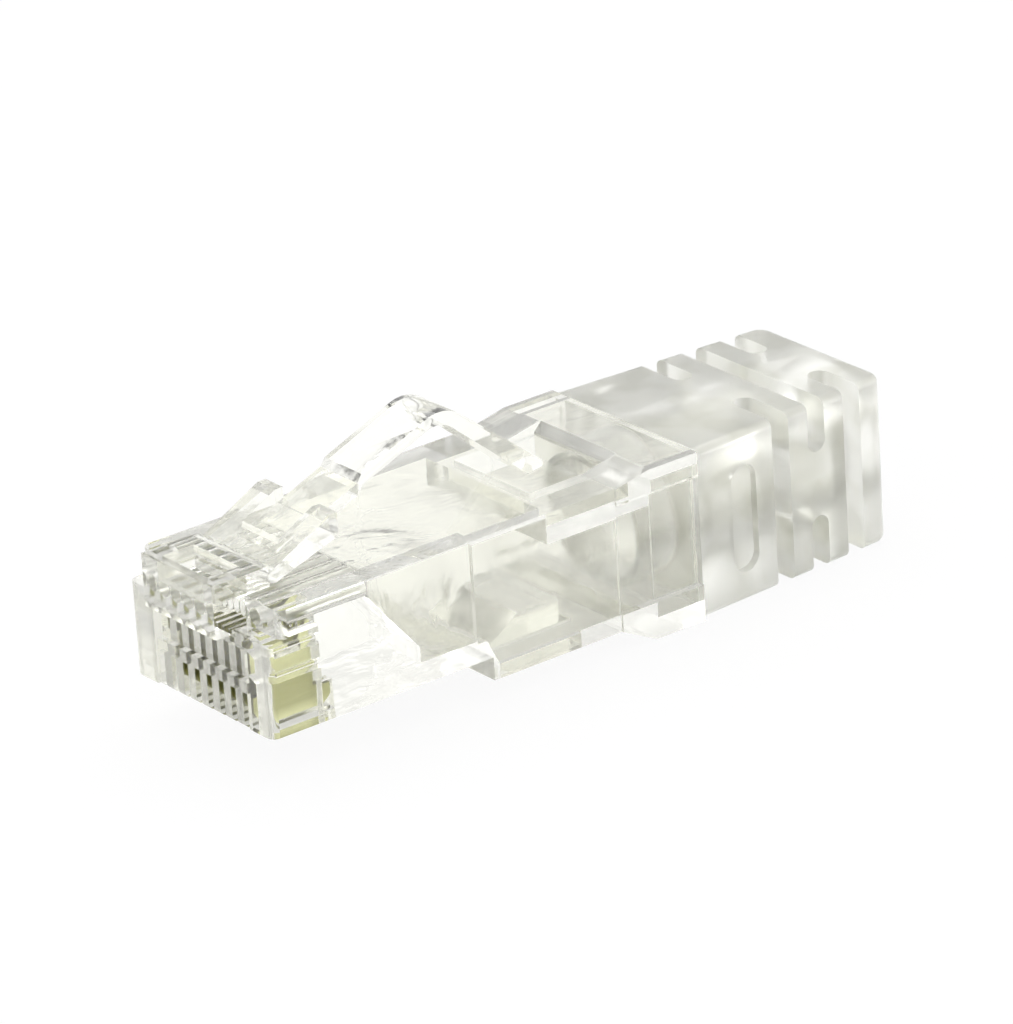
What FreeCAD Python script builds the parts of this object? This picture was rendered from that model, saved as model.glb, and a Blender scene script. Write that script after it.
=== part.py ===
"""Eight-way modular plug for network cable, with the strain relief boot pushed against its collar.

X runs across the plug, Y along it from the insertion end to the cable end, and Z up, latch on top.
Drawings use the plug's own datum: Y from the lower front face, Z from the underside of the front.
Every finished piece is then placed so that the origin is the bottom centre of the whole plug.
"""
import FreeCAD, Part
import Sketcher
import os
import re

SIZES = {
    # housing block
    "body_width": 11.68,
    "body_height": 6.71,
    "corner_round": 0.45,
    "front_step_height": 5.15,
    "front_step_setback": 0.93,
    "keel_start": 13.9,
    "keel_drop": 1.27,
    # rear collar and its lips
    "collar_front": 22.2,
    "collar_end": 27.6,
    "collar_ramp": 2.15,
    "collar_rise": 0.42,
    "collar_drop": 1.08,
    "lip_proud": 0.12,
    "lip_depth": 0.95,
    "waist_depth": 0.35,
    # nose above the front
    "nose_width": 6.0,
    "nose_reach": 1.0,
    "nose_back": 2.5,
    "nose_top": 7.8,
    "nose_bottom": 4.9,
    "nose_pocket_width": 3.9,
    "nose_pocket_front": 0.55,
    "nose_pocket_back": 1.0,
    "nose_pocket_depth": 1.3,
    # contact comb at the front
    "contact_pitch": 1.016,
    "blade_thick": 0.34,
    "blade_clearance": 0.04,
    "blade_front": 0.9,
    "blade_length": 2.75,
    "blade_bottom": 0.22,
    "blade_height": 4.2,
    "blade_corner": 0.5,
    "foot_length": 0.85,
    "foot_height": 1.2,
    "prong_width": 0.72,
    "prong_rise": 0.78,
    "prong_notch": 0.4,
    "face_notch": 0.4,
    "face_notch_bottom": 1.5,
    "face_notch_top": 2.85,
    "guide_recess": 0.55,
    "guide_rib": 0.12,
    "guide_slope": 0.24,
    "guide_low": 2.75,
    "guide_high": 4.12,
    "comb_width": 7.8,
    "rib_setback": 0.1,
    "rib_height": 2.5,
    "rib_drop": 0.2,
    "rib_round": 0.4,
    "comb_recess_depth": 0.5,
    "comb_top": 4.35,
    "slot_mouth": 1.85,
    "slot_end_gap": 0.15,
    # room for the wires and the cable
    "channel_bore": 0.92,
    "channel_lift": 0.05,
    "channel_front": 1.5,
    "channel_back": 7.0,
    "funnel_back": 10.0,
    "funnel_floor": 1.6,
    "wire_space_width": 8.3,
    "cable_space_front": 13.4,
    "cavity_floor": 0.7,
    "cable_space_width": 9.4,
    "keel_wall": 0.62,
    "cable_space_top": 4.7,
    # strain relief bar in the keel
    "window_width": 6.2,
    "window_front": 15.3,
    "window_back": 20.6,
    "bar_gap": 0.45,
    "bar_thick": 1.75,
    "bar_web": 0.3,
    # recess under the latch tail
    "recess_width": 6.3,
    "recess_front": 18.8,
    "recess_back": 24.1,
    "recess_floor": 5.3,
    "recess_slope": 0.5,
    # latch
    "hinge_y": 2.85,
    "hinge_z": 7.2,
    "knuckle_radius": 0.4,
    "hinge_clearance": 0.05,
    "latch_root_width": 6.0,
    "latch_width": 3.1,
    "latch_thick": 0.6,
    "shoulder_back": 6.9,
    "shoulder_top": 9.38,
    "shoulder_height": 1.3,
    "shoulder_land": 0.5,
    "leg_start": 4.3,
    "leg_start_height": 7.78,
    "latch_slope": 0.395,
    "pad_front": 9.3,
    "pad_step": 0.3,
    "crest_y": 15.0,
    "crest_radius": 2.1,
    "tail_thick": 1.0,
    "tail_end": 21.0,
    "tail_top": 7.42,
    # boot
    "boot_gap": 0.05,
    "boot_side_step": 0.04,
    "boot_taper": 0.85,
    "boot_length": 13.4,
    "boot_corner": 0.9,
    "boot_edge": 0.45,
    "spigot_length": 2.6,
    "spigot_wall": 1.0,
    "spigot_clearance": 0.1,
    "cable_bore": 6.2,
    "lead_bore": 6.8,
    "lead_depth": 4.4,
    "boot_block": 5.3,
    "boot_slot": 1.2,
    "boot_plate": 1.35,
    "slot_web": 5.2,
    "side_web_bottom": 0.1,
    "side_web_top": 4.95,
    "grip_front": 2.3,
    "grip_width": 1.75,
    "grip_bottom": -0.7,
    "grip_height": 6.0,
    "grip_depth": 0.5,
}

COLLAR_TOP = "(body_height + collar_rise)"
COLLAR_BOTTOM = "(0 - keel_drop - collar_drop)"
LIP_UNDER = "(body_height - lip_depth)"
KEEL_LIP_OVER = "(lip_depth - keel_drop)"
LIP_WIDTH = "(body_width + 2 * lip_proud)"
SLOT_WIDTH = "(blade_thick + 2 * blade_clearance)"
BLADE_BACK = "(blade_front + blade_length)"
BLADE_TOP = "(blade_bottom + blade_height)"
PRONG_TOP = "(blade_bottom + blade_height + prong_rise)"
PRONG_FRONT = "(blade_front + blade_length - prong_width)"
FOOT_BACK = "(blade_front + blade_length + foot_length)"
CHANNEL_Z = f"({PRONG_TOP} + channel_lift + channel_bore / 2)"
CHANNEL_TOP = f"({CHANNEL_Z} + channel_bore / 2)"
KEEL_FLOOR = "(keel_wall - keel_drop)"
BOOT_END = "(collar_end + boot_gap + boot_length)"
BOOT_FRONT = "(collar_end + boot_gap)"
BOOT_MIDDLE = "((body_height + collar_rise - keel_drop - collar_drop) / 2)"
BOOT_HEIGHT = "(body_height + collar_rise + keel_drop + collar_drop)"
BOOT_WIDTH = "(body_width - 2 * boot_side_step)"
BOOT_END_WIDTH = f"({BOOT_WIDTH} - 2 * boot_taper)"
SPIGOT_WIDTH = "(body_width - 2 * spigot_wall)"
SPIGOT_HEIGHT = f"({BOOT_HEIGHT} - 2 * spigot_wall)"
SOCKET_WIDTH = f"({SPIGOT_WIDTH} + 2 * spigot_clearance)"
SOCKET_HEIGHT = f"({SPIGOT_HEIGHT} + 2 * spigot_clearance)"

doc = FreeCAD.newDocument("modular_plug")
sheet = doc.addObject("Spreadsheet::Sheet", "Sizes")


def fill_sheet():
    """Write each driving size beside its name and give the cell that name as its alias."""
    for row, (name, size) in enumerate(SIZES.items(), start=1):
        sheet.set(f"A{row}", name)
        sheet.set(f"B{row}", str(size))
        sheet.setAlias(f"B{row}", name)
    doc.recompute()


def bound(expression):
    """Point each size name in an expression at its cell."""
    return re.sub(r"[a-z][a-z_]+", lambda found: "Sizes." + found.group(0), str(expression))


def value(expression):
    return float(sheet.evalExpression(bound(expression)))


def new_body(label):
    """A body whose datum frame is moved to the plug's own origin."""
    body = doc.addObject("PartDesign::Body", label)
    body.Label = label
    body.setExpression(".Placement.Base.y", bound(f"(nose_reach - {BOOT_END}) / 2"))
    body.setExpression(".Placement.Base.z", bound(f"0 - {COLLAR_BOTTOM}"))
    return body


def new_sketch(body, name, plane, lift="0"):
    """An empty sketch on one of the body's origin planes, lifted along the plane's normal."""
    sketch = body.newObject("Sketcher::SketchObject", name)
    support = [feature for feature in body.Origin.OriginFeatures if feature.Role == plane]
    sketch.AttachmentSupport = [(support[0], "")]
    sketch.MapMode = "FlatFace"
    sketch.setExpression("AttachmentOffset.Base.z", bound(lift))
    return sketch


def pin_point(sketch, element, end, across, along):
    """Hold one end of an element at a place given by two expressions."""
    for kind, expression in (("DistanceX", across), ("DistanceY", along)):
        constraint = Sketcher.Constraint(kind, -1, 1, element, end, value(expression))
        index = sketch.addConstraint(constraint)
        sketch.setExpression(f"Constraints[{index}]", bound(expression))


def outline(body, name, plane, corners, lift="0"):
    """A closed outline of straight sides through corners that are pairs of expressions."""
    sketch = new_sketch(body, name, plane, lift)
    places = [FreeCAD.Vector(value(across), value(along), 0) for across, along in corners]
    for index, start in enumerate(places):
        sketch.addGeometry(Part.LineSegment(start, places[(index + 1) % len(places)]))
    for index in range(len(places)):
        sketch.addConstraint(Sketcher.Constraint("Coincident", index, 2, (index + 1) % len(places), 1))
    for index, (across, along) in enumerate(corners):
        pin_point(sketch, index, 1, across, along)
    return sketch


def rectangle(body, name, plane, low, high, lift="0"):
    """A rectangle between two corners, each a pair of expressions."""
    corners = [(low[0], low[1]), (high[0], low[1]), (high[0], high[1]), (low[0], high[1])]
    return outline(body, name, plane, corners, lift)


def circles(body, name, plane, centres, radius, lift="0"):
    """Equal circles round centres that are pairs of expressions."""
    sketch = new_sketch(body, name, plane, lift)
    normal = FreeCAD.Vector(0, 0, 1)
    for index, (across, along) in enumerate(centres):
        place = FreeCAD.Vector(value(across), value(along), 0)
        sketch.addGeometry(Part.Circle(place, normal, value(radius)))
        pin_point(sketch, index, 3, across, along)
        constraint = sketch.addConstraint(Sketcher.Constraint("Radius", index, value(radius)))
        sketch.setExpression(f"Constraints[{constraint}]", bound(radius))
    return sketch


def sweep_both_ways(kind, body, name, sketch, length):
    """A pad or pocket that runs to both sides of its sketch, half its length each way."""
    feature = body.newObject(kind, name)
    feature.Profile = sketch
    feature.SideType = "Symmetric"
    feature.setExpression("Length", bound(length))
    doc.recompute()
    return feature


def pad(body, name, sketch, length):
    return sweep_both_ways("PartDesign::Pad", body, name, sketch, length)


def pocket(body, name, sketch, length):
    """A cut that is checked for having taken something away."""
    before = body.Shape.Volume
    feature = sweep_both_ways("PartDesign::Pocket", body, name, sketch, length)
    if feature.Shape.Volume >= before:
        raise RuntimeError(f"{name} cut nothing")
    return feature


def mirrored(body, feature, name, plane="YZ_Plane"):
    """The same feature on the other side of the body's middle plane."""
    copy = body.newObject("PartDesign::Mirrored", name)
    support = [item for item in body.Origin.OriginFeatures if item.Role == plane]
    copy.Originals = [feature]
    copy.MirrorPlane = (support[0], [""])
    body.Tip = copy
    doc.recompute()
    return copy


def row_of(body, feature, name, count, spacing):
    """Copies of a feature in a row across the plug."""
    row = body.newObject("PartDesign::LinearPattern", name)
    support = [item for item in body.Origin.OriginFeatures if item.Role == "X_Axis"]
    row.Originals = [feature]
    row.Direction = (support[0], [""])
    row.Occurrences = count
    row.setExpression("Length", bound(f"{count - 1} * {spacing}"))
    body.Tip = row
    doc.recompute()
    return row


def round_edges(body, name, radius, wanted):
    """Fillet the edges of the body's tip that the test picks by their middle and direction."""
    base = body.Tip
    names = []
    for number, edge in enumerate(base.Shape.Edges, start=1):
        middle = edge.valueAt((edge.FirstParameter + edge.LastParameter) / 2)
        straight = edge.Curve.TypeId == "Part::GeomLine"
        if straight and wanted(middle, edge.tangentAt(edge.FirstParameter), edge.Length):
            names.append(f"Edge{number}")
    if not names:
        raise RuntimeError(f"{name} found no edge")
    fillet = body.newObject("PartDesign::Fillet", name)
    fillet.Base = (base, names)
    fillet.setExpression("Radius", bound(radius))
    body.Tip = fillet
    doc.recompute()
    return fillet


def near(number, target, reach=0.01):
    return abs(number - target) < reach


CONTACTS = 8


def contact_place(index):
    """Distance of one contact from the middle of the plug."""
    return f"({index} - {(CONTACTS - 1) / 2}) * contact_pitch"


def housing_block(body):
    """The block in side view: front step, flat top, stepped keel and the sloped collar."""
    side = outline(body, "block_outline", "YZ_Plane", [
        ("0", "0"),
        ("keel_start", "0"),
        ("keel_start", "0 - keel_drop"),
        ("collar_front", "0 - keel_drop"),
        ("collar_front + collar_ramp", COLLAR_BOTTOM),
        ("collar_end", COLLAR_BOTTOM),
        ("collar_end", COLLAR_TOP),
        ("collar_front + collar_ramp", COLLAR_TOP),
        ("collar_front", "body_height"),
        ("front_step_setback", "body_height"),
        ("front_step_setback", "front_step_height"),
        ("0", "front_step_height"),
    ])
    pad(body, "block", side, "body_width")
    half = value("body_width / 2")
    front = value("front_step_setback")
    round_edges(body, "front_corners", "corner_round",
                lambda middle, along, length: near(abs(along.z), 1) and near(abs(middle.x), half)
                and middle.y < front + 0.1)


def housing_lips(body):
    """The collar's upper and lower lips stand proud of its sides."""
    upper = outline(body, "upper_lip_outline", "YZ_Plane", [
        ("collar_front", LIP_UNDER),
        ("collar_end", LIP_UNDER),
        ("collar_end", COLLAR_TOP),
        ("collar_front + collar_ramp", COLLAR_TOP),
        ("collar_front", "body_height"),
    ])
    pad(body, "upper_lip", upper, LIP_WIDTH)
    lower = outline(body, "lower_lip_outline", "YZ_Plane", [
        ("collar_front", KEEL_LIP_OVER),
        ("collar_front", "0 - keel_drop"),
        ("collar_front + collar_ramp", COLLAR_BOTTOM),
        ("collar_end", COLLAR_BOTTOM),
        ("collar_end", KEEL_LIP_OVER),
    ])
    pad(body, "lower_lip", lower, LIP_WIDTH)
    waist = rectangle(body, "waist_outline", "YZ_Plane",
                      ("collar_front", KEEL_LIP_OVER), ("collar_end + 1", LIP_UNDER),
                      lift="body_width / 2 + lip_proud")
    side = pocket(body, "waist", waist, "2 * (waist_depth + lip_proud)")
    mirrored(body, side, "waists")


def housing_nose(body):
    """The raised nose that carries the latch, hollowed from above."""
    side = rectangle(body, "nose_outline", "YZ_Plane",
                     ("0 - nose_reach", "nose_bottom"), ("nose_back", "nose_top"))
    pad(body, "nose", side, "nose_width")
    hollow = rectangle(body, "nose_pocket_outline", "YZ_Plane",
                       ("nose_pocket_front - nose_reach", "nose_top - nose_pocket_depth"),
                       ("nose_back - nose_pocket_back", "nose_top + 1"))
    pocket(body, "nose_pocket", hollow, "nose_pocket_width")
    seat = circles(body, "hinge_seat_outline", "YZ_Plane", [("hinge_y", "hinge_z")],
                   "knuckle_radius + hinge_clearance")
    pocket(body, "hinge_seat", seat, "nose_width + 1")


def housing_comb(body):
    """Eight contact slots between ribs, open below and at the foot of the front, closed above it."""
    foot = rectangle(body, "rib_foot_outline", "YZ_Plane",
                     ("0", "0 - rib_drop"), (f"{FOOT_BACK} + slot_end_gap", "rib_height"))
    pad(body, "rib_feet", foot, "comb_width")
    face = outline(body, "rib_front_outline", "YZ_Plane", [
        ("0 - 1", "0 - 1"),
        ("rib_setback + rib_round", "0 - 1"),
        ("rib_setback + rib_round", "0 - rib_drop"),
        ("rib_setback + rib_round / 2", "rib_round * 0.13 - rib_drop"),
        ("rib_setback + rib_round * 0.13", "rib_round / 2 - rib_drop"),
        ("rib_setback", "rib_round - rib_drop"),
        ("rib_setback", "comb_top"),
        ("0 - 1", "comb_top"),
    ])
    pocket(body, "rib_front", face, "comb_width")
    recess = rectangle(body, "comb_recess_outline", "YZ_Plane",
                       ("0 - 0.5", "rib_height"), ("comb_recess_depth", "comb_top"))
    pocket(body, "comb_recess", recess, "comb_width")
    slot = outline(body, "slot_outline", "YZ_Plane", [
        ("0 - 0.5", "0 - 0.5"),
        (f"{FOOT_BACK} + slot_end_gap", "0 - 0.5"),
        (f"{FOOT_BACK} + slot_end_gap", "blade_bottom + foot_height + slot_end_gap"),
        (f"{BLADE_BACK} + slot_end_gap", "blade_bottom + foot_height + slot_end_gap"),
        (f"{BLADE_BACK} + slot_end_gap", f"{PRONG_TOP} + slot_end_gap"),
        (f"{PRONG_FRONT} - slot_end_gap", f"{PRONG_TOP} + slot_end_gap"),
        (f"{PRONG_FRONT} - slot_end_gap", f"{BLADE_TOP} + slot_end_gap"),
        ("blade_front - slot_end_gap", f"{BLADE_TOP} + slot_end_gap"),
        ("blade_front - slot_end_gap", "slot_mouth"),
        ("0 - 0.5", "slot_mouth"),
    ], lift=contact_place(0))
    first = pocket(body, "slot", slot, SLOT_WIDTH)
    row_of(body, first, "slots", CONTACTS, "contact_pitch")


def housing_guides(body):
    """Room beside the outermost contacts, between tapered guide ribs that run along the blade."""
    near_side = f"({contact_place(CONTACTS - 1)} + {SLOT_WIDTH} / 2)"
    far_side = f"({near_side} + guide_recess)"
    front = "(blade_front - slot_end_gap)"
    back = f"({BLADE_BACK} + slot_end_gap)"
    bands = (("0 - 1", "guide_low"),
             ("guide_low + guide_rib", "guide_high"),
             ("guide_high + guide_rib", f"{BLADE_TOP} + guide_rib + 2 * guide_slope"))
    for number, (low, high) in enumerate(bands, start=1):
        room = outline(body, f"guide_room_outline_{number}", "XZ_Plane", [
            (contact_place(CONTACTS - 1), low),
            (near_side, low),
            (far_side, f"{low} + guide_slope"),
            (far_side, f"{high} - guide_slope"),
            (near_side, high),
            (contact_place(CONTACTS - 1), high),
        ], lift=f"0 - ({front} + {back}) / 2")
        side = pocket(body, f"guide_room_{number}", room, f"{back} - {front}")
        mirrored(body, side, f"guide_rooms_{number}")


def housing_wire_room(body):
    """Wire channels, the funnel behind them, the cable space and the socket for the boot."""
    length = "(channel_back - channel_front)"
    channel = circles(body, "channel_outline", "XZ_Plane", [(contact_place(0), CHANNEL_Z)],
                      "channel_bore / 2", lift=f"0 - (channel_front + {length} / 2)")
    first = pocket(body, "channel", channel, f"{length} + 0.4")
    row_of(body, first, "channels", CONTACTS, "contact_pitch")
    wires = outline(body, "funnel_outline", "YZ_Plane", [
        ("channel_back", f"{CHANNEL_Z} - channel_bore / 2"),
        ("funnel_back", "funnel_floor"),
        ("funnel_back + 0.5", "funnel_floor"),
        ("funnel_back + 0.5", CHANNEL_TOP),
        ("channel_back", CHANNEL_TOP),
    ])
    pocket(body, "funnel", wires, "wire_space_width")
    lead = rectangle(body, "lead_room_outline", "YZ_Plane",
                     ("funnel_back", "cavity_floor"), ("keel_start + 0.1", CHANNEL_TOP))
    pocket(body, "lead_room", lead, "wire_space_width")
    drop = "(recess_front - keel_wall)"
    cable = outline(body, "cable_space_outline", "YZ_Plane", [
        ("cable_space_front", "cavity_floor"),
        ("keel_start + 0.1", "cavity_floor"),
        ("keel_start + keel_wall + 0.1", KEEL_FLOOR),
        ("collar_end + 1", KEEL_FLOOR),
        ("collar_end + 1", "cable_space_top"),
        (drop, "cable_space_top"),
        (drop, CHANNEL_TOP),
        ("cable_space_front", CHANNEL_TOP),
    ])
    pocket(body, "cable_space", cable, "cable_space_width")
    low = f"{BOOT_MIDDLE} - {SOCKET_HEIGHT} / 2"
    high = f"{BOOT_MIDDLE} + {SOCKET_HEIGHT} / 2"
    socket = rectangle(body, "boot_socket_outline", "YZ_Plane",
                       ("collar_end - spigot_length - spigot_clearance", low), ("collar_end + 1", high))
    pocket(body, "boot_socket", socket, SOCKET_WIDTH)


def housing_relief_bar(body):
    """A window in the keel that holds the strain relief bar on a thin web."""
    window = rectangle(body, "window_outline", "YZ_Plane",
                       ("window_front", "0 - keel_drop - 1"), ("window_back", f"{KEEL_FLOOR} + 0.05"))
    pocket(body, "window", window, "window_width")
    bar = outline(body, "bar_outline", "YZ_Plane", [
        ("window_front - 0.2", f"{KEEL_FLOOR} - bar_web"),
        ("window_front + bar_gap", f"{KEEL_FLOOR} - bar_web"),
        ("window_front + bar_gap", "0 - keel_drop"),
        ("window_back - bar_gap", "0 - keel_drop"),
        ("window_back - bar_gap", "bar_thick - keel_drop"),
        ("window_front + bar_gap + bar_thick", "bar_thick - keel_drop"),
        ("window_front + bar_gap", KEEL_FLOOR),
        ("window_front - 0.2", KEEL_FLOOR),
    ])
    pad(body, "relief_bar", bar, "window_width - 2 * bar_gap")


def housing_recess(body):
    """The recess in the top that the latch tail drops into, with sloped walls at the collar."""
    hollow = outline(body, "recess_outline", "YZ_Plane", [
        ("recess_front", "recess_floor"),
        ("recess_back", "recess_floor"),
        ("recess_back", f"{COLLAR_TOP} - recess_slope"),
        ("recess_back + recess_slope", f"{COLLAR_TOP} + 0.01"),
        ("recess_back + recess_slope", f"{COLLAR_TOP} + 1"),
        ("recess_front", f"{COLLAR_TOP} + 1"),
    ])
    pocket(body, "recess", hollow, "recess_width")


def build_housing():
    body = new_body("housing")
    housing_block(body)
    housing_lips(body)
    housing_nose(body)
    housing_comb(body)
    housing_guides(body)
    housing_wire_room(body)
    housing_relief_bar(body)
    housing_recess(body)
    return body


def build_contact(index):
    """One gold-plated blade: rounded where the socket's spring rides, two prongs on top, footed behind."""
    body = new_body(f"contact_{index + 1}")
    corners = [
        ("blade_front", "blade_bottom + blade_corner"),
        ("blade_front + blade_corner / 3", "blade_bottom + blade_corner / 3"),
        ("blade_front + blade_corner", "blade_bottom"),
        (f"{FOOT_BACK} - foot_height / 2", "blade_bottom"),
        (FOOT_BACK, "blade_bottom + foot_height / 2"),
        (FOOT_BACK, "blade_bottom + foot_height"),
        (BLADE_BACK, "blade_bottom + foot_height"),
        (BLADE_BACK, f"{PRONG_TOP} - prong_width / 2"),
        (f"{BLADE_BACK} - prong_width / 4", PRONG_TOP),
        (f"{BLADE_BACK} - prong_width / 2", PRONG_TOP),
        (PRONG_FRONT, f"{BLADE_TOP} - prong_notch / 3"),
        (f"{PRONG_FRONT} - prong_width / 4", f"{BLADE_TOP} - prong_notch"),
        (f"{PRONG_FRONT} - prong_width", f"{BLADE_TOP} - prong_notch"),
        (f"{PRONG_FRONT} - prong_width * 1.4", BLADE_TOP),
        ("blade_front + blade_corner / 2", BLADE_TOP),
        ("blade_front", f"{BLADE_TOP} - blade_corner / 2"),
        ("blade_front", "face_notch_top"),
        ("blade_front + face_notch", "face_notch_top"),
        ("blade_front + face_notch", "face_notch_bottom"),
        ("blade_front", "face_notch_bottom"),
    ]
    side = outline(body, f"blade_outline_{index + 1}", "YZ_Plane", corners, lift=contact_place(index))
    pad(body, f"blade_{index + 1}", side, "blade_thick")
    return body


def latch_line(y, drop="0"):
    """Height of the latch's rising leg at a place along the plug, a drop below its upper face."""
    return f"(leg_start_height + latch_slope * ({y} - leg_start) - {drop})"


def build_latch():
    """The latch in side view: wide root with two shoulders, rising leg, arch and sloping tail."""
    body = new_body("latch_lever")
    rise = "(latch_thick * 1.08)"
    step = "(pad_front + pad_step)"
    crest = latch_line("crest_y", "(0 - pad_step)")
    tail_slope = f"(({crest} - tail_top) / (tail_end - crest_y))"
    inner_crest_y = "(crest_y - latch_thick / 2)"
    leg = outline(body, "leg_outline", "YZ_Plane", [
        ("leg_start", latch_line("leg_start")),
        ("leg_start", latch_line("leg_start", rise)),
        ("pad_front", latch_line("pad_front", rise)),
        (step, latch_line(step, f"({rise} - pad_step)")),
        (inner_crest_y, latch_line(inner_crest_y, f"({rise} - pad_step)")),
        ("tail_end - tail_thick", f"tail_top + {tail_slope} * tail_thick - tail_thick * 1.28"),
        ("tail_end", "tail_top - tail_thick / 3"),
        ("tail_end", "tail_top"),
        ("crest_y", crest),
        (step, latch_line(step, "(0 - pad_step)")),
        ("pad_front", latch_line("pad_front")),
    ])
    pad(body, "leg", leg, "latch_width")
    root = outline(body, "root_outline", "YZ_Plane", [
        ("hinge_y", "hinge_z - knuckle_radius"),
        ("shoulder_back", "shoulder_top - shoulder_height"),
        ("shoulder_back", "shoulder_top"),
        ("shoulder_back - shoulder_land", "shoulder_top"),
        ("hinge_y", "hinge_z + knuckle_radius"),
    ])
    pad(body, "root", root, "latch_root_width")
    knuckle = circles(body, "knuckle_outline", "YZ_Plane", [("hinge_y", "hinge_z")], "knuckle_radius")
    pad(body, "knuckle", knuckle, "latch_root_width")
    valley = outline(body, "valley_outline", "YZ_Plane", [
        ("leg_start", latch_line("leg_start")),
        ("shoulder_back + 1", latch_line("shoulder_back + 1")),
        ("shoulder_back + 1", "shoulder_top + 1"),
        ("leg_start", "shoulder_top + 1"),
    ])
    pocket(body, "valley", valley, "latch_width")
    crest_place = value("crest_y")
    round_edges(body, "arch_outside", "crest_radius",
                lambda middle, along, length: near(abs(along.x), 1) and near(middle.y, crest_place))
    inner_place = value(inner_crest_y)
    round_edges(body, "arch_inside", "crest_radius - latch_thick",
                lambda middle, along, length: near(abs(along.x), 1) and near(middle.y, inner_place))
    return body


def boot_row(count):
    """Distance behind the boot's front of the front edge of a slot, counted from nought."""
    return f"(collar_end + boot_gap + boot_block + {count} * (boot_slot + boot_plate))"


def boot_grips(body):
    """A long shallow hollow with round ends in each side of the boot's block."""
    middle = f"({BOOT_FRONT} + grip_front + grip_width / 2)"
    side = f"{BOOT_WIDTH} / 2 - boot_taper / boot_length * (grip_front + grip_width / 2)"
    low = "(grip_bottom + grip_width / 2)"
    high = "(grip_bottom + grip_height - grip_width / 2)"
    straight = rectangle(body, "grip_outline", "YZ_Plane",
                         (f"{BOOT_FRONT} + grip_front", low),
                         (f"{BOOT_FRONT} + grip_front + grip_width", high), lift=side)
    hollow = pocket(body, "grip", straight, "2 * grip_depth")
    mirrored(body, hollow, "grips")
    ends = circles(body, "grip_end_outline", "YZ_Plane", [(middle, low), (middle, high)],
                   "grip_width / 2", lift=side)
    rounds = pocket(body, "grip_ends", ends, "2 * grip_depth")
    mirrored(body, rounds, "grip_end_pairs")


def build_boot():
    """The boot: a tapered block, three plates between slots cut by turns from the sides and the faces."""
    body = new_body("strain_relief_boot")
    plan = outline(body, "boot_plan", "XY_Plane", [
        (f"0 - {BOOT_WIDTH} / 2", BOOT_FRONT),
        (f"{BOOT_WIDTH} / 2", BOOT_FRONT),
        (f"{BOOT_END_WIDTH} / 2", BOOT_END),
        (f"0 - {BOOT_END_WIDTH} / 2", BOOT_END),
    ], lift=BOOT_MIDDLE)
    pad(body, "boot_block", plan, BOOT_HEIGHT)
    end = value(BOOT_END)
    low = value(COLLAR_BOTTOM)
    high = value(COLLAR_TOP)
    round_edges(body, "end_corners", "boot_corner",
                lambda middle, along, length: near(abs(along.z), 1) and near(middle.y, end))
    round_edges(body, "long_edges", "boot_edge",
                lambda middle, along, length: abs(along.y) > 0.5
                and (near(middle.z, low) or near(middle.z, high)))
    spigot = circles(body, "spigot_outline", "XZ_Plane", [("0", BOOT_MIDDLE)], f"{SPIGOT_HEIGHT} / 2",
                     lift=f"0 - {BOOT_FRONT}")
    pad(body, "spigot", spigot, "2 * (boot_gap + spigot_length)")
    bore = circles(body, "bore_outline", "XZ_Plane", [("0", BOOT_MIDDLE)], "cable_bore / 2")
    pocket(body, "bore", bore, f"2 * {BOOT_END} + 2")
    lead_end = "(collar_end - spigot_length + lead_depth)"
    lead = circles(body, "lead_outline", "XZ_Plane", [("0", BOOT_MIDDLE)], "lead_bore / 2")
    pocket(body, "lead_in", lead, f"2 * {lead_end}")
    for count in (0, 2):
        front = boot_row(count)
        back = f"({front} + boot_slot)"
        cut = rectangle(body, f"side_slot_outline_{count + 1}", "XY_Plane",
                        ("slot_web / 2", front), (BOOT_WIDTH, back))
        slot = pocket(body, f"side_slot_{count + 1}", cut, f"4 * {BOOT_HEIGHT}")
        mirrored(body, slot, f"side_slots_{count + 1}")
        ends = circles(body, f"slot_end_outline_{count + 1}", "XY_Plane",
                       [("slot_web / 2", f"{front} + boot_slot / 2"),
                        ("0 - slot_web / 2", f"{front} + boot_slot / 2")], "boot_slot / 2")
        pocket(body, f"slot_ends_{count + 1}", ends, f"4 * {BOOT_HEIGHT}")
    boot_grips(body)
    front = boot_row(1)
    back = f"({front} + boot_slot)"
    above = rectangle(body, "top_slot_outline", "YZ_Plane",
                      (front, "side_web_top"), (back, f"{COLLAR_TOP} + 1"))
    pocket(body, "top_slot", above, f"{BOOT_WIDTH} + 1")
    middle = f"{front} + boot_slot / 2"
    trough = circles(body, "trough_outline", "YZ_Plane",
                     [(middle, "side_web_top"), (middle, "side_web_bottom")], "boot_slot / 2")
    below = rectangle(body, "bottom_slot_outline", "YZ_Plane",
                      (front, f"{COLLAR_BOTTOM} - 1"), (back, "side_web_bottom"))
    pocket(body, "bottom_slot", below, f"{BOOT_WIDTH} + 1")
    pocket(body, "troughs", trough, f"{BOOT_WIDTH} + 1")
    return body


def check_and_write(bodies):
    """Refuse any object that failed to build, then write each piece to its own file."""
    doc.recompute()
    for item in doc.Objects:
        if "Invalid" in item.State or "Error" in item.State:
            raise RuntimeError(f"{item.Name} did not build: {item.State}")
    for body in bodies:
        shape = body.Shape
        if shape.isNull() or not shape.isValid() or len(shape.Solids) != 1:
            raise RuntimeError(f"{body.Label} is not one valid solid")
    os.makedirs("parts", exist_ok=True)
    for body in bodies:
        body.Shape.exportStep(f"parts/{body.Label}.step")
        box = body.Shape.BoundBox
        print(f"{body.Label:20s} volume {body.Shape.Volume:8.2f}  "
              f"x {box.XMin:7.2f} {box.XMax:7.2f}  y {box.YMin:7.2f} {box.YMax:7.2f}  "
              f"z {box.ZMin:6.2f} {box.ZMax:6.2f}  faces {len(body.Shape.Faces)}")


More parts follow.
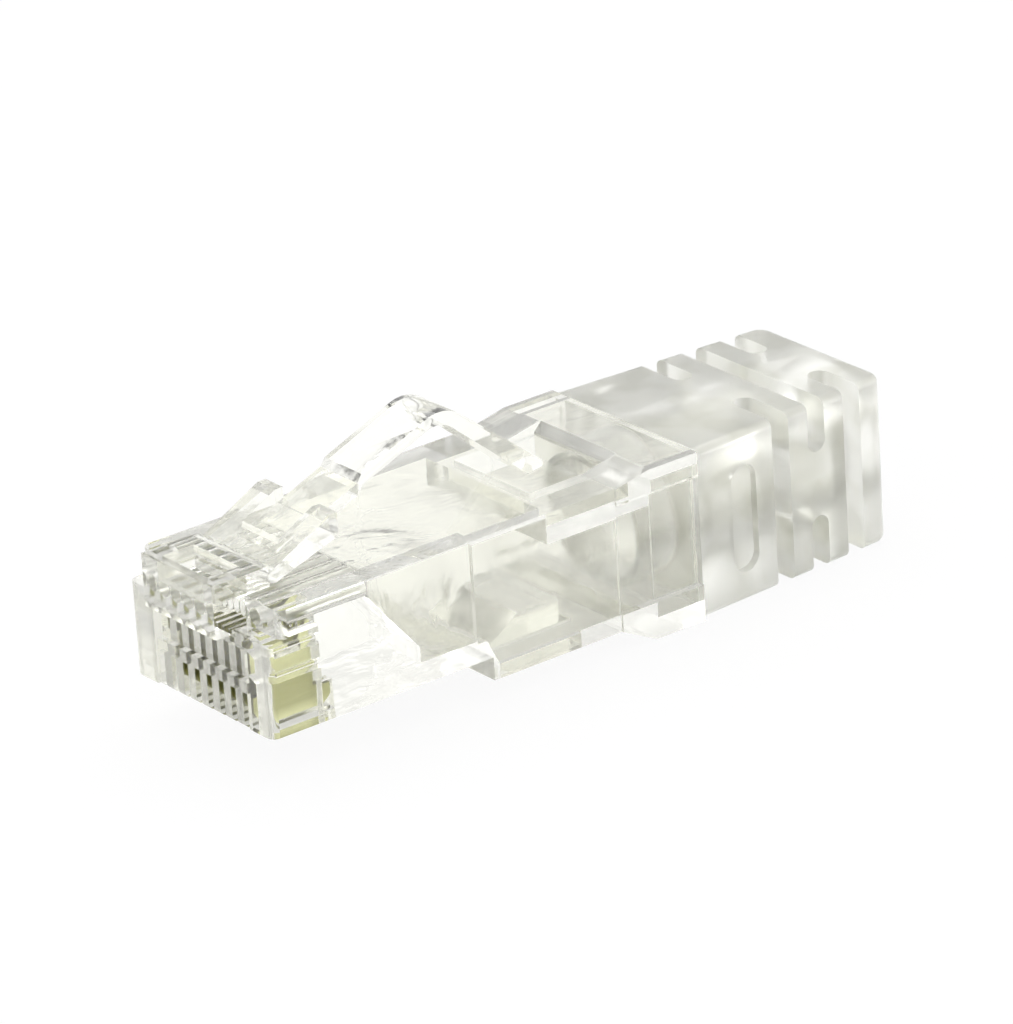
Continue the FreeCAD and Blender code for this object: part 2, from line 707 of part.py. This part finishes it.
fill_sheet()
pieces = [build_housing(), build_latch(), build_boot()]
pieces += [build_contact(index) for index in range(CONTACTS)]
check_and_write(pieces)
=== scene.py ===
# %% [markdown]
# # A clear modular plug with its frosted strain relief boot
# This lesson dresses a finished CAD model in Blender. The CAD part gives every solid its true place
# and size, so nothing is moved here. The work is in the plastics: two see-through materials that live
# on what they bend and what they reflect, and a thin gold plating inside one of them.

# %% Load the plug
import math
import bpy
from mathutils import Matrix, Vector


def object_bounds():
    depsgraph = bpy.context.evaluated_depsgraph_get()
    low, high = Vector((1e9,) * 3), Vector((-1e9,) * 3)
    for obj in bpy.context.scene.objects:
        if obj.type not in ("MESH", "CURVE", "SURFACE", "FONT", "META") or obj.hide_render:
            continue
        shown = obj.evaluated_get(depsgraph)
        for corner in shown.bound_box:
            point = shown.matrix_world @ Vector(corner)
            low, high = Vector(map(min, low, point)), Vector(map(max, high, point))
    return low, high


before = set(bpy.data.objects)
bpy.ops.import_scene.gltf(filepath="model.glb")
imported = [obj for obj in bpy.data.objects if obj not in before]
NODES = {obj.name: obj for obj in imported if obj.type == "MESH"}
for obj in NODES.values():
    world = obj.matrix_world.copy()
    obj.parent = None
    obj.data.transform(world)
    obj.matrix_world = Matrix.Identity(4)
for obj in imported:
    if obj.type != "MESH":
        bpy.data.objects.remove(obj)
cad_low, cad_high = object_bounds()
print("CAD box in mm:", [round(v * 1000, 2) for v in (*cad_low, *cad_high)])

# %% [markdown]
# ## The camera
# The photo was taken with a long lens from a little above, the contacts' end nearest. Straight lines that
# are parallel on the plug still draw together a little, so the lens is a real perspective one. Its place
# comes from matching known corners of the plug: a point to aim at, a turn round the plug, a height, a
# small tilt of the frame and a distance. Writing the place this way keeps each number readable.

# %% Set the camera
MM = 0.001
AIM = Vector((0.0, -0.025, 5.35)) * MM
TURN = math.radians(53.385)
HEIGHT = math.radians(23.32)
TILT = math.radians(-3.719)
DISTANCE = 376.442 * MM
SLIDE = (-0.366 * MM, 1.237 * MM)
FOCAL_PIXELS = 7310.65
LONG_SIDE_PIXELS = 1024
TOWARD_CAMERA = (math.sin(TURN) * math.cos(HEIGHT), -math.cos(TURN) * math.cos(HEIGHT), math.sin(HEIGHT))


def photo_camera():
    """A camera that sees the plug as the photo does."""
    back = Vector(TOWARD_CAMERA)
    level = Vector((math.cos(TURN), math.sin(TURN), 0.0))
    upright = back.cross(level)
    right = level * math.cos(TILT) + upright * math.sin(TILT)
    up = upright * math.cos(TILT) - level * math.sin(TILT)
    data = bpy.data.cameras.new("photo_camera")
    data.sensor_width = 36.0
    data.lens = FOCAL_PIXELS / LONG_SIDE_PIXELS * data.sensor_width
    data.clip_start = 0.01
    data.clip_end = 10.0
    camera = bpy.data.objects.new("photo_camera", data)
    place = AIM + back * DISTANCE + right * SLIDE[0] + up * SLIDE[1]
    turned = Matrix((right, up, back)).transposed().to_4x4()
    camera.matrix_world = Matrix.Translation(place) @ turned
    bpy.context.scene.collection.objects.link(camera)
    bpy.context.scene.camera = camera
    return camera


camera = photo_camera()
print("lens in mm:", round(camera.data.lens, 1))

# %% [markdown]
# ## A small kit for building materials
# Each material below is a graph of nodes. Making and joining nodes by hand takes three lines each time,
# so a few helpers do it in one: one adds a node with its settings, and the others add the three kinds that
# are used most, which are sums, ranges and mixes of two colours.

# %% Helpers for nodes
def add(tree, kind, inputs=None, **settings):
    """A new node with its settings and the values or links of its inputs."""
    node = tree.nodes.new(kind)
    for name, value in settings.items():
        setattr(node, name, value)
    for name, value in (inputs or {}).items():
        if isinstance(value, bpy.types.NodeSocket):
            tree.links.new(value, node.inputs[name])
        else:
            node.inputs[name].default_value = value
    return node


def maths(tree, operation, *values):
    """The result of one sum on one or two values or outputs."""
    return add(tree, "ShaderNodeMath", dict(enumerate(values)), operation=operation).outputs[0]


def map_range(tree, value, given=(0.0, 1.0), wanted=(0.0, 1.0), **settings):
    """A value carried from one range to another, and held within it."""
    return add(tree, "ShaderNodeMapRange", {
        "Value": value, "From Min": given[0], "From Max": given[1],
        "To Min": wanted[0], "To Max": wanted[1]}, **settings).outputs["Result"]


def mix_colour(tree, factor, low, high):
    """A colour between two, each a value or an output, by a factor."""
    return add(tree, "ShaderNodeMix", {0: factor, 6: low, 7: high}, data_type="RGBA").outputs[2]


def grey_ramp(tree, factor, stops):
    """Greys that follow a factor, as pairs of position and shade."""
    node = add(tree, "ShaderNodeValToRGB", {"Fac": factor})
    elements = node.color_ramp.elements
    while len(elements) < len(stops):
        elements.new(0.5)
    for element, (position, shade) in zip(elements, stops):
        element.position = position
        element.color = (shade, shade, shade, 1.0)
    return node.outputs["Color"]


print("helpers for nodes are ready")

# %% [markdown]
# ## Groups and empty materials
# What several plastics share goes into node groups with named sockets, which give out only masks and
# heights. The shader itself stays in each material, where its plain numbers can be read.

# %% Helpers for groups and materials
def new_group(name, inputs, outputs):
    """A node group with numbers or vectors coming in, with their defaults, and numbers going out."""
    group = bpy.data.node_groups.new(name, "ShaderNodeTree")
    for socket, default in inputs.items():
        kind = "NodeSocketVector" if isinstance(default, tuple) else "NodeSocketFloat"
        made = group.interface.new_socket(socket, in_out="INPUT", socket_type=kind)
        made.default_value = default
    for socket in outputs:
        group.interface.new_socket(socket, in_out="OUTPUT", socket_type="NodeSocketFloat")
    return group, group.nodes.new("NodeGroupInput"), group.nodes.new("NodeGroupOutput")


def blank_material(name):
    """A material with an empty graph, and its output."""
    material = bpy.data.materials.new(name)
    material.use_nodes = True
    tree = material.node_tree
    tree.nodes.clear()
    return material, tree, tree.nodes.new("ShaderNodeOutputMaterial")


def on_object(tree, what="Object"):
    """The place of each point in the object's own space, or the direction its face looks in."""
    return add(tree, "ShaderNodeTexCoord").outputs[what]


print("helpers for groups and materials are ready")

# %% [markdown]
# ## What moulding leaves on clear plastic
# A clear moulded face is never a perfect mirror. Plastic shrinks as it cools, so wide faces carry a slow
# ripple that bends what is seen through them, and the melt leaves flow marks about a millimetre wide where
# it ran into a thin place. Handling adds fine scuffs that scatter a little light. All of them could be
# painted as pictures, but noise has no seams and no edge, and its sizes can be given in real lengths. The
# group gives a height for the bump and a mask that raises the roughness.

# %% Group: moulded face
FLOW_STRETCH = (1.0, 0.7, 0.45)
FLOW_TURN = (0.3, 0.0, 0.2)
SCUFF_STRETCH = (1.0, 0.12, 1.0)
SCUFF_TURN = (0.2, 0.1, 0.35)
SCUFF_EDGE = (0.52, 0.74)


def moulded_face_group():
    """A bump's height and a mask of scuffs, from noise of four sizes."""
    group, given, result = new_group(
        "moulded face",
        {"Ripple Size": 240.0, "Ripple": 1.0, "Flow Size": 780.0, "Flow": 0.3,
         "Grain Size": 9000.0, "Grain": 0.0, "Scuff Size": 900.0},
        ["Height", "Scuff Mask"])
    place = on_object(group)
    ripple = add(group, "ShaderNodeTexNoise", {
        "Vector": place, "Scale": given.outputs["Ripple Size"], "Detail": 1.0, "Roughness": 0.4})
    run = add(group, "ShaderNodeMapping", {"Vector": place, "Scale": FLOW_STRETCH, "Rotation": FLOW_TURN})
    flow = add(group, "ShaderNodeTexNoise", {
        "Vector": run.outputs["Vector"], "Scale": given.outputs["Flow Size"],
        "Detail": 1.0, "Distortion": 1.2})
    grain = add(group, "ShaderNodeTexNoise", {
        "Vector": place, "Scale": given.outputs["Grain Size"], "Detail": 2.0, "Roughness": 0.6})
    parts = [maths(group, "MULTIPLY", noise.outputs["Fac"], given.outputs[amount])
             for noise, amount in ((ripple, "Ripple"), (flow, "Flow"), (grain, "Grain"))]
    height = maths(group, "ADD", maths(group, "ADD", parts[0], parts[1]), parts[2])
    drawn = add(group, "ShaderNodeMapping", {"Vector": place, "Scale": SCUFF_STRETCH, "Rotation": SCUFF_TURN})
    hair = add(group, "ShaderNodeTexNoise", {
        "Vector": drawn.outputs["Vector"], "Scale": given.outputs["Scuff Size"],
        "Detail": 4.0, "Roughness": 0.75})
    scuff = map_range(group, hair.outputs["Fac"], SCUFF_EDGE, interpolation_type="SMOOTHSTEP")
    group.links.new(height, result.inputs["Height"])
    group.links.new(scuff, result.inputs["Scuff Mask"])
    return group


MOULDED_FACE = moulded_face_group()
print("group sockets:", [s.name for s in MOULDED_FACE.interface.items_tree])

# %% [markdown]
# ## Faces that the mould's cores made
# The outside of a clear plug is formed by polished steel. The room for wires and cable, and the pocket in
# the nose, are formed by core pins, which are less polished and leave a duller face. Those faces could be
# picked by hand and given a material of their own, but then they would meet the others in a hard line. A
# small group marks what lies inside a box instead, with a soft edge, so that one material can be clear
# outside and duller within.

# %% Group: inside a box
NO_SIZE = (0.0, 0.0, 0.0)


def inside_box_group():
    """A mask that is 1 inside a box and fades to 0 at its faces."""
    group, given, result = new_group(
        "inside a box", {"Middle": NO_SIZE, "Half Size": NO_SIZE, "Soft Edge": 0.0}, ["Mask"])
    away = add(group, "ShaderNodeVectorMath", {
        0: on_object(group), 1: given.outputs["Middle"]}, operation="SUBTRACT")
    reach = add(group, "ShaderNodeVectorMath", {0: away.outputs["Vector"]}, operation="ABSOLUTE")
    room = add(group, "ShaderNodeVectorMath", {
        0: given.outputs["Half Size"], 1: reach.outputs["Vector"]}, operation="SUBTRACT")
    sides = add(group, "ShaderNodeSeparateXYZ", {"Vector": room.outputs["Vector"]}).outputs
    least = maths(group, "MINIMUM", maths(group, "MINIMUM", sides["X"], sides["Y"]), sides["Z"])
    mask = map_range(group, least, (0.0, given.outputs["Soft Edge"]))
    group.links.new(mask, result.inputs["Mask"])
    return group


INSIDE_BOX = inside_box_group()
SHARP_EDGE_MM = 0.15


def inside(tree, corners_mm, edge_mm=SHARP_EDGE_MM):
    """A mask of the space between two corners, with a soft edge, all in millimetres."""
    low_mm, high_mm = corners_mm
    node = add(tree, "ShaderNodeGroup", node_tree=INSIDE_BOX)
    node.inputs["Middle"].default_value = [(low + high) / 2 * MM for low, high in zip(low_mm, high_mm)]
    node.inputs["Half Size"].default_value = [(high - low) / 2 * MM for low, high in zip(low_mm, high_mm)]
    node.inputs["Soft Edge"].default_value = edge_mm * MM
    return node.outputs["Mask"]


print("group sockets:", [s.name for s in INSIDE_BOX.interface.items_tree])

# %% [markdown]
# ## Clear polycarbonate
# The housing and the latch are moulded in a clear, hard plastic. It bends light more than water or
# acrylic does, with an index near 1.58, so inner edges draw grey lines and corners turn small patches
# dark. Thin see-through paint over a grey picture could fake that from one side only. A shader with full
# transmission does it by itself from all sides, if the solids are true. Its colour is all but white, with
# a trace of warm green from the depth of plastic that light crosses.
#
# The melt meets round the wire channels and swirls there, so the waves in the faces are deepest between the
# contacts and the funnel. The thin ribs of the comb are given a darker colour: painted shade for the dark
# that they bend in. The latch is worked by fingertips, so its polish is less than the housing's: the same
# function makes both.

# %% Where the finish of the clear plastic changes
CABLE_ROOM = ((-5.0, -18.9, 1.4), (5.0, 7.6, 8.75))
NOSE_POCKET = ((-2.05, -20.6, 8.7), (2.05, -18.4, 10.05))
WIRE_CHANNELS = ((-4.4, -18.8, 7.35), (4.4, -12.8, 8.75))
COLLAR_ROOM = ((-5.6, 1.0, 0.5), (5.6, 7.6, 9.2))
WIRE_ROOM = ((-7.4, -17.6, 1.4), (7.4, -7.0, 10.4))
COMB = ((-4.3, -20.8, 2.3), (4.3, -19.4, 8.6))
WIRE_ROOM_EDGE_MM = 1.6
print("length of the cable room in mm:", round(CABLE_ROOM[1][1] - CABLE_ROOM[0][1], 2))

# %% Material: clear plastic
CLEAR_COLOUR = (0.985, 0.985, 0.935, 1.0)
# Darker colour for the comb's ribs: painted shade for the dark that they bend in.
COMB_PAINTED_SHADE = (0.66, 0.66, 0.60, 1.0)
SCUFFED = 0.08
CORE_DULLNESS = (0.05, 0.22)
CHANNEL_DULLNESS = 0.4
COLLAR_DULLNESS = 0.2
FRONT_DULLNESS = 0.13
WAVES = (0.065, 0.215)
SWIRLS = 0.785
MIDDLE_HEIGHT = 0.62


def clear_roughness(tree, face, polish, cable_room):
    """The roughness of polished, scuffed and cored faces."""
    outer = map_range(tree, face.outputs["Scuff Mask"], wanted=(polish, polish + SCUFFED))
    cloud = add(tree, "ShaderNodeTexNoise", {"Vector": on_object(tree), "Scale": 500.0, "Detail": 2.0})
    dull = map_range(tree, cloud.outputs["Fac"], (0.35, 0.65), CORE_DULLNESS)
    cored = maths(tree, "MAXIMUM", cable_room, inside(tree, NOSE_POCKET))
    within = maths(tree, "MULTIPLY", cored, dull)
    channels = maths(tree, "MULTIPLY", inside(tree, WIRE_CHANNELS), CHANNEL_DULLNESS)
    collar = maths(tree, "MULTIPLY", inside(tree, COLLAR_ROOM), COLLAR_DULLNESS)
    facing = add(tree, "ShaderNodeSeparateXYZ", {"Vector": on_object(tree, "Normal")})
    front = map_range(tree, facing.outputs["Y"], (-0.6, -0.95), (0.0, FRONT_DULLNESS))
    roughest = outer
    for other in (within, channels, collar, front):
        roughest = maths(tree, "MAXIMUM", roughest, other)
    return roughest


def clear_waves(tree, face, cable_room):
    """The height of waves about a middle level, deepest where the melt swirls."""
    waves = map_range(tree, cable_room, wanted=WAVES)
    swirls = map_range(tree, inside(tree, WIRE_ROOM, WIRE_ROOM_EDGE_MM), wanted=(0.0, SWIRLS))
    centred = maths(tree, "SUBTRACT", face.outputs["Height"], MIDDLE_HEIGHT)
    return maths(tree, "MULTIPLY", centred, maths(tree, "ADD", waves, swirls))


def clear_plastic(name, polish):
    """Clear plastic whose outer faces have the given least roughness."""
    material, tree, output = blank_material(name)
    face = add(tree, "ShaderNodeGroup", node_tree=MOULDED_FACE)
    face.inputs["Flow"].default_value = 0.25
    cable_room = inside(tree, CABLE_ROOM)
    bump = add(tree, "ShaderNodeBump", {
        "Height": clear_waves(tree, face, cable_room), "Strength": 1.0, "Distance": 0.28 * MM})
    shader = add(tree, "ShaderNodeBsdfPrincipled", {
        # Inside the comb's box the colour is darker: painted shade.
        "Base Color": mix_colour(tree, inside(tree, COMB), CLEAR_COLOUR, COMB_PAINTED_SHADE),
        "Roughness": clear_roughness(tree, face, polish, cable_room),
        "IOR": 1.58, "Transmission Weight": 1.0, "Normal": bump.outputs["Normal"]})
    tree.links.new(shader.outputs["BSDF"], output.inputs["Surface"])
    return material


CLEAR = clear_plastic("clear_polycarbonate", 0.03)
LATCH_CLEAR = clear_plastic("clear_latch_polycarbonate", 0.05)
print("made:", CLEAR.name, "and", LATCH_CLEAR.name)

# %% [markdown]
# ## Frosted boot plastic
# The boot is a softer plastic with a matt mould finish. Light passes, but each face scatters it, so inner
# forms show only as soft grey and olive shadows. Milkiness all through the plastic would hide them, so the
# blur comes from rough transmission, and a small share of plain pale plastic gives the milky body. A fine
# grain in the bump breaks up the gloss. The spigot inside the collar is pressed smooth and looks paler.

# %% Material: frosted plastic
SPIGOT = ((-4.2, 4.5, 0.8), (4.2, 7.58, 8.7))
THICK_TINT = (0.80, 0.80, 0.73, 1.0)
THIN_TINT = (1.0, 1.0, 0.955, 1.0)
SPIGOT_TINT = (1.0, 1.0, 0.99, 1.0)
MATT = (0.29, 0.36)
PRESSED_SMOOTH = 0.4


def frosted_plastic():
    """Milky plastic with olive clouds and a matt face."""
    material, tree, output = blank_material("frosted_boot_plastic")
    face = add(tree, "ShaderNodeGroup", node_tree=MOULDED_FACE)
    face.inputs["Flow"].default_value = 0.15
    face.inputs["Grain"].default_value = 0.05
    cloud = add(tree, "ShaderNodeTexNoise", {
        "Vector": on_object(tree), "Scale": 330.0, "Detail": 2.0, "Roughness": 0.45}).outputs["Fac"]
    spigot = inside(tree, SPIGOT)
    tint = mix_colour(tree, map_range(tree, cloud, (0.38, 0.52)), THICK_TINT, THIN_TINT)
    matt = map_range(tree, cloud, (0.3, 0.7), MATT)
    pressed = map_range(tree, spigot, wanted=(1.0, PRESSED_SMOOTH))
    bump = add(tree, "ShaderNodeBump", {
        "Height": face.outputs["Height"], "Strength": 0.3, "Distance": 0.05 * MM})
    shader = add(tree, "ShaderNodeBsdfPrincipled", {
        "Base Color": mix_colour(tree, spigot, tint, SPIGOT_TINT),
        "Roughness": maths(tree, "MULTIPLY", matt, pressed),
        "IOR": 1.5, "Transmission Weight": 0.96, "Normal": bump.outputs["Normal"]})
    tree.links.new(shader.outputs["BSDF"], output.inputs["Surface"])
    return material


FROSTED = frosted_plastic()
print("made:", FROSTED.name)

# %% [markdown]
# ## Gold plating on the contacts
# The blades are punched from copper alloy and plated with very thin gold. Behind clear plastic and in
# bright light the flat sides read as a pale yellow-green. Their bands that grow lighter and darker with the
# height are painted light and shade. The edges stand in the shade of their slots, so their dark colour is
# painted shade. They could be told apart by hand, face by face, but the face's own direction says it too: a
# side faces along X, an edge doesn't. Fine lines come from the punch, as stretched noise.

# %% Material: gold plating
BLADE_TOP_MM = 10.0
# Bands of painted light and shade on the plated sides, by height.
HEIGHT_SHADE_BANDS = [(0.27, 0.7), (0.32, 0.1), (0.49, -0.1), (0.52, 0.6), (0.70, 0.8)]
PUNCH_STRETCH = (1.0, 0.15, 1.0)
DARK_GOLD = (0.40, 0.40, 0.15, 1.0)
PALE_GOLD = (0.93, 0.94, 0.57, 1.0)
# The edges' dark colour is painted shade, for the shade of their slots.
EDGE_PAINTED_SHADE = (0.20, 0.19, 0.11, 1.0)


def gold_plating():
    """Pale plated sides with fine lines and bands of painted light and shade, and edges dark with painted
    shade.
    """
    material, tree, output = blank_material("gold_plating")
    place = on_object(tree)
    drawn = add(tree, "ShaderNodeMapping", {"Vector": place, "Scale": PUNCH_STRETCH})
    lines = add(tree, "ShaderNodeTexNoise", {
        "Vector": drawn.outputs["Vector"], "Scale": 4500.0, "Detail": 3.0, "Roughness": 0.6}).outputs["Fac"]
    height = add(tree, "ShaderNodeSeparateXYZ", {"Vector": place}).outputs["Z"]
    bands = grey_ramp(tree, map_range(tree, height, (0.0, BLADE_TOP_MM * MM)), HEIGHT_SHADE_BANDS)
    shine = maths(tree, "ADD", bands, maths(tree, "MULTIPLY", lines, 0.35))
    plated = mix_colour(tree, shine, DARK_GOLD, PALE_GOLD)
    facing = add(tree, "ShaderNodeSeparateXYZ", {"Vector": on_object(tree, "Normal")}).outputs["X"]
    side = map_range(tree, maths(tree, "ABSOLUTE", facing), (0.5, 0.85))
    bump = add(tree, "ShaderNodeBump", {"Height": lines, "Strength": 0.2, "Distance": 0.01 * MM})
    shader = add(tree, "ShaderNodeBsdfPrincipled", {
        "Base Color": mix_colour(tree, side, EDGE_PAINTED_SHADE, plated),
        "Roughness": map_range(tree, lines, wanted=(0.28, 0.48)),
        "Metallic": 1.0, "Normal": bump.outputs["Normal"]})
    tree.links.new(shader.outputs["BSDF"], output.inputs["Surface"])
    return material


GOLD = gold_plating()
print("made:", GOLD.name)

# %% [markdown]
# ## Dress the pieces
# A CAD edge is perfectly sharp, and no moulded edge is. Rounding them in the CAD would cost many faces, so
# a Bevel modifier cuts each sharp edge here by a fraction of a millimetre. It then catches a thin line of
# light and bends what is behind it. The mesh under the modifier stays as the CAD made it. A Weld modifier
# comes first, because the imported faces don't share their corner points.

# %% Materials and soft edges
SAME_POINT = 0.002 * MM
SHARP_ANGLE = math.radians(32)
CLEAR_EDGE = 0.1 * MM
BOOT_EDGE = 0.2 * MM
BLADE_EDGE = 0.03 * MM


def soften(piece, width):
    """Thin rounded edges on a CAD piece, by modifiers alone."""
    weld = piece.modifiers.new("join_corners", "WELD")
    weld.merge_threshold = SAME_POINT
    bevel = piece.modifiers.new("soft_edges", "BEVEL")
    bevel.width = width
    bevel.segments = 2
    bevel.limit_method = "ANGLE"
    bevel.angle_limit = SHARP_ANGLE
    bevel.use_clamp_overlap = True


def dress(piece, material, width):
    """One material and soft edges for a piece."""
    piece.data.materials.clear()
    piece.data.materials.append(material)
    soften(piece, width)


dress(NODES["housing"], CLEAR, CLEAR_EDGE)
dress(NODES["latch_lever"], LATCH_CLEAR, CLEAR_EDGE)
dress(NODES["strain_relief_boot"], FROSTED, BOOT_EDGE)
for number in range(1, 9):
    dress(NODES[f"contact_{number}"], GOLD, BLADE_EDGE)
print("dressed:", len(NODES), "pieces")

# %% [markdown]
# ## The floor
# The photo is high key: the plug stands on white paper, and almost all that draws it is the little dark
# that its edges bend in. To the camera the paper is almost white by its own glow, so it needs no extra
# light on the plug, and what is left of plain paper carries the plug's shadow. Bent and mirrored rays see
# paper that glows by half, and is lit by the lamps for the other half. So the shade under the plug is seen
# through it, and from above it parts the clear plastic from the paper round it.

# %% Floor
PAPER = (0.58, 0.58, 0.575, 1.0)
WHITE = (1.0, 1.0, 1.0, 1.0)
GLOW_TO_CAMERA = 0.93
GLOW_THROUGH_PLASTIC = 0.5
FLOOR_HALF = 1.5
FLOOR_GAP = 0.02 * MM


def pale_floor():
    """White paper under the plug."""
    material, tree, output = blank_material("pale_floor")
    rays = add(tree, "ShaderNodeLightPath").outputs
    shown = maths(tree, "MULTIPLY", rays["Is Camera Ray"], GLOW_TO_CAMERA)
    bent = maths(tree, "MAXIMUM", rays["Is Glossy Ray"], rays["Is Transmission Ray"])
    seen_through = maths(tree, "MULTIPLY", bent, GLOW_THROUGH_PLASTIC)
    glow = maths(tree, "MAXIMUM", shown, seen_through)
    paper = add(tree, "ShaderNodeBsdfDiffuse", {"Color": PAPER})
    white = add(tree, "ShaderNodeEmission", {"Color": WHITE, "Strength": 1.0})
    mixed = add(tree, "ShaderNodeMixShader", {0: glow, 1: paper.outputs[0], 2: white.outputs[0]})
    tree.links.new(mixed.outputs[0], output.inputs["Surface"])
    mesh = bpy.data.meshes.new("floor")
    half = FLOOR_HALF
    corners = [(-half, -half, 0), (half, -half, 0), (half, half, 0), (-half, half, 0)]
    mesh.from_pydata(corners, [], [(0, 1, 2, 3)])
    mesh.materials.append(material)
    floor = bpy.data.objects.new("floor", mesh)
    floor.location.z = cad_low.z - FLOOR_GAP
    bpy.context.scene.collection.objects.link(floor)
    return floor


floor = pale_floor()
print("floor at z in mm:", round(floor.location.z / MM, 3))

# %% [markdown]
# ## The white room
# Clear plastic shows its surroundings, so they are part of its look. Plain white all round would make the
# plug vanish. A dark band low round the horizon gives the edges something to draw with. The walls are a
# little uneven, as a studio's are, and one end of the room is dark: it is where the photographer stands.
# Corners of clear plastic throw light straight back the way it came, so they show that dark end as small
# black accents. The camera itself sees plain white.

# %% World
HORIZON_BAND = [(0.0, 0.8), (0.015, 0.3), (0.045, 0.3), (0.08, 0.88), (0.18, 1.0), (0.3, 1.0)]
WALLS = (0.88, 1.18)
DARK_EDGE = math.radians(17.0)
DARK_CORE = math.radians(10.0)
DARK_LEVEL = 0.02


def white_room():
    """A world that is white to the camera, with a dark band and a dark end for the plastic to show."""
    world = bpy.data.worlds.new("white_room")
    world.use_nodes = True
    tree = world.node_tree
    tree.nodes.clear()
    output = tree.nodes.new("ShaderNodeOutputWorld")
    rays = add(tree, "ShaderNodeLightPath")
    direction = on_object(tree, "Generated")
    rise = add(tree, "ShaderNodeSeparateXYZ", {"Vector": direction}).outputs["Z"]
    band = grey_ramp(tree, rise, HORIZON_BAND)
    uneven = add(tree, "ShaderNodeTexNoise", {"Vector": direction, "Scale": 2.4, "Detail": 1.0})
    walls = map_range(tree, uneven.outputs["Fac"], (0.35, 0.62), WALLS)
    toward = add(tree, "ShaderNodeVectorMath", {0: direction, 1: TOWARD_CAMERA}, operation="DOT_PRODUCT")
    dark_end = map_range(
        tree, toward.outputs["Value"], (math.cos(DARK_EDGE), math.cos(DARK_CORE)), (1.0, DARK_LEVEL),
        interpolation_type="SMOOTHSTEP")
    room = add(tree, "ShaderNodeBackground", {
        "Color": band, "Strength": maths(tree, "MULTIPLY", walls, dark_end)})
    plain = add(tree, "ShaderNodeBackground", {"Color": WHITE, "Strength": 1.0})
    mixed = add(tree, "ShaderNodeMixShader", {
        0: rays.outputs["Is Camera Ray"], 1: room.outputs[0], 2: plain.outputs[0]})
    tree.links.new(mixed.outputs[0], output.inputs["Surface"])
    bpy.context.scene.world = world
    return world


print("world:", white_room().name)

# %% [markdown]
# ## The lamps
# The room gives most of the light, so two large soft lamps are enough: one above and behind, and one over
# the contacts' end. A lamp's own picture in the plastic is as bright as the lamp, and a nearer or larger
# top lamp would lie as a white patch over the latch. So it hangs where its mirror image misses the latch
# in the photo's view, and both lamps are weak.

# %% Lamps
LAMP_AIM_MM = (0, 0, 5)


def soft_lamp(name, place_mm, size_mm, power):
    """A large area lamp that looks at the plug."""
    data = bpy.data.lights.new(name, "AREA")
    data.shape = "RECTANGLE"
    data.size = size_mm[0] * MM
    data.size_y = size_mm[1] * MM
    data.energy = power
    lamp = bpy.data.objects.new(name, data)
    place = Vector(place_mm) * MM
    lamp.location = place
    lamp.rotation_euler = (Vector(LAMP_AIM_MM) * MM - place).to_track_quat("-Z", "Y").to_euler()
    bpy.context.scene.collection.objects.link(lamp)
    return lamp


lamps = [soft_lamp("top_softbox", (-60, 40, 260), (270, 270), 0.7),
         soft_lamp("front_softbox", (60, -230, 150), (300, 220), 0.35)]
print("lamps:", [lamp.name for lamp in lamps])

# %% [markdown]
# ## Finish
# The colours are shown as they are written, so the view transform is the plain one. Clear plastic needs
# many bounces, because a ray may cross a dozen walls before it leaves. A ray that is mirrored inside more
# than twenty times is given up, and leaves a small dark accent, as trapped light does in the photo.

# %% View, bounces and clamp
bpy.context.scene.view_settings.view_transform = "Standard"
bpy.context.scene.cycles.max_bounces = 48
bpy.context.scene.cycles.transmission_bounces = 48
bpy.context.scene.cycles.glossy_bounces = 20
bpy.context.scene.cycles.sample_clamp_indirect = 4.0
